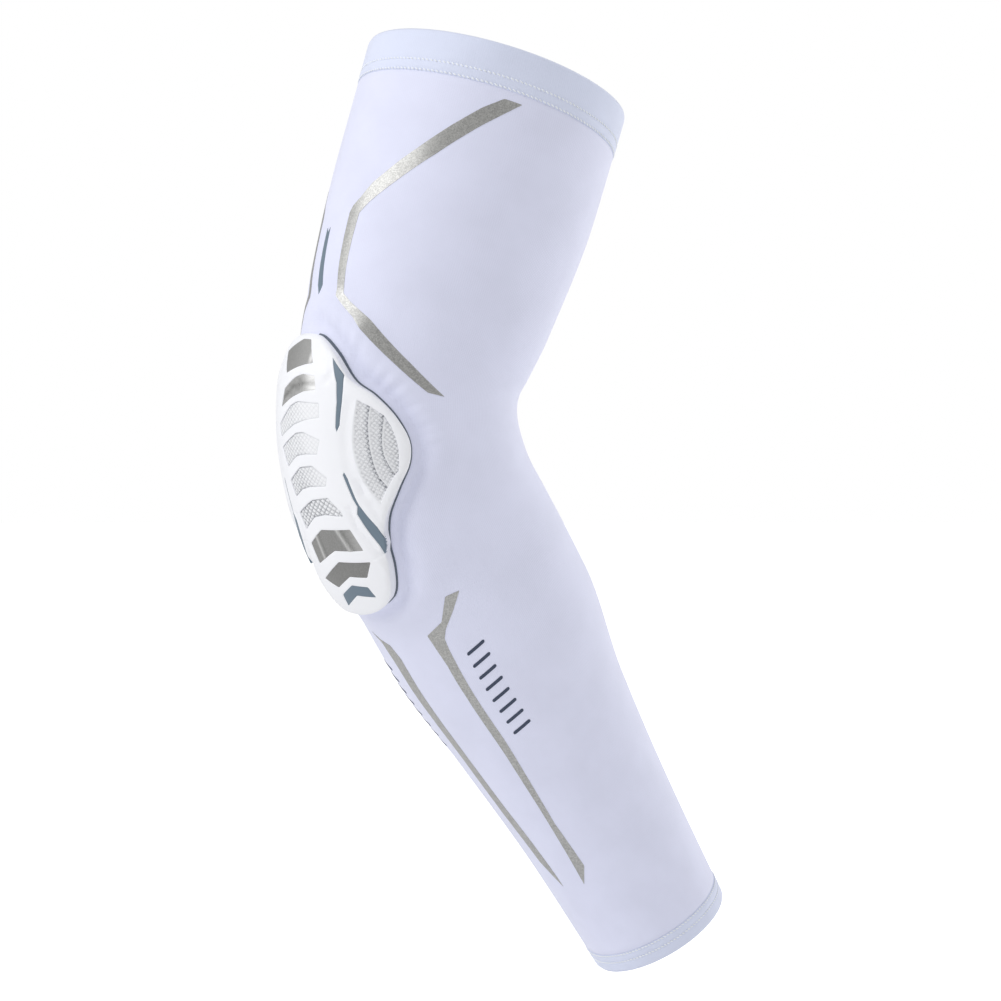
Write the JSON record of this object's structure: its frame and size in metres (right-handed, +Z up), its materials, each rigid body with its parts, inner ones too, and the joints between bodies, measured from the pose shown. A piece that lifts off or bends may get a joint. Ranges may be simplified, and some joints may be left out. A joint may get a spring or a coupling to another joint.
{
  "type": "padded arm sleeve",
  "caption": "Compression arm sleeve, bent as worn, with a moulded elbow pad, wings at the elbow, hemmed ends and printed stripes.",
  "frame": {"origin": "middle of the elbow, on the sleeve's middle line, where an arm inside would hold it", "axes": "+Z up as worn with the upper arm above, the arm bends in the XZ plane, -X towards the tip of the elbow, Y across the arm"},
  "size_m": [0.2059, 0.105, 0.3923],
  "materials": {
    "knit": "fine compression knit, matt with a faint sheen",
    "hem": "doubled knit hem with coverstitch rows",
    "foam": "closed-cell foam, cut edge",
    "shell": "soft moulded shell, satin",
    "mesh": "coarse open knit mesh",
    "foil": "silver film, finely grained",
    "slate": "slate-blue inlay, matt",
    "silver_print": "silver heat-set film with a fine sparkle",
    "slate_print": "slate heat-set film, matt"
  },
  "bodies": {
    "root": {"knit_sleeve": "knit", "upper_hem": "hem", "wrist_hem": "hem", "pad_foam": "foam", "pad_shell": "shell", "top_foil_panel": "foil", "upper_foil_panel": "foil", "lower_foil_panel": "foil", "low_foil_panel": "foil", "mesh_1_panel": "mesh", "mesh_2_panel": "mesh", "mesh_3_panel": "mesh", "mesh_4_panel": "mesh", "slate_chevron": "slate", "upper_arm_mark": "slate_print", "upper_wedge_right": "slate", "lower_wedge_right": "slate", "wing_mesh_inner_right": "mesh", "wing_mesh_middle_right": "mesh", "wing_mesh_outer_right": "mesh", "upper_stripe_right": "silver_print", "forearm_stripe_right": "silver_print", "tick_1_right": "slate_print", "tick_2_right": "slate_print", "tick_3_right": "slate_print", "tick_4_right": "slate_print", "tick_5_right": "slate_print", "tick_6_right": "slate_print", "tick_7_right": "slate_print", "tick_8_right": "slate_print", "upper_wedge_left": "slate", "lower_wedge_left": "slate", "wing_mesh_inner_left": "mesh", "wing_mesh_middle_left": "mesh", "wing_mesh_outer_left": "mesh", "upper_stripe_left": "silver_print", "forearm_stripe_left": "silver_print", "tick_1_left": "slate_print", "tick_2_left": "slate_print", "tick_3_left": "slate_print", "tick_4_left": "slate_print", "tick_5_left": "slate_print", "tick_6_left": "slate_print", "tick_7_left": "slate_print", "tick_8_left": "slate_print"}
  },
  "joints": []
}
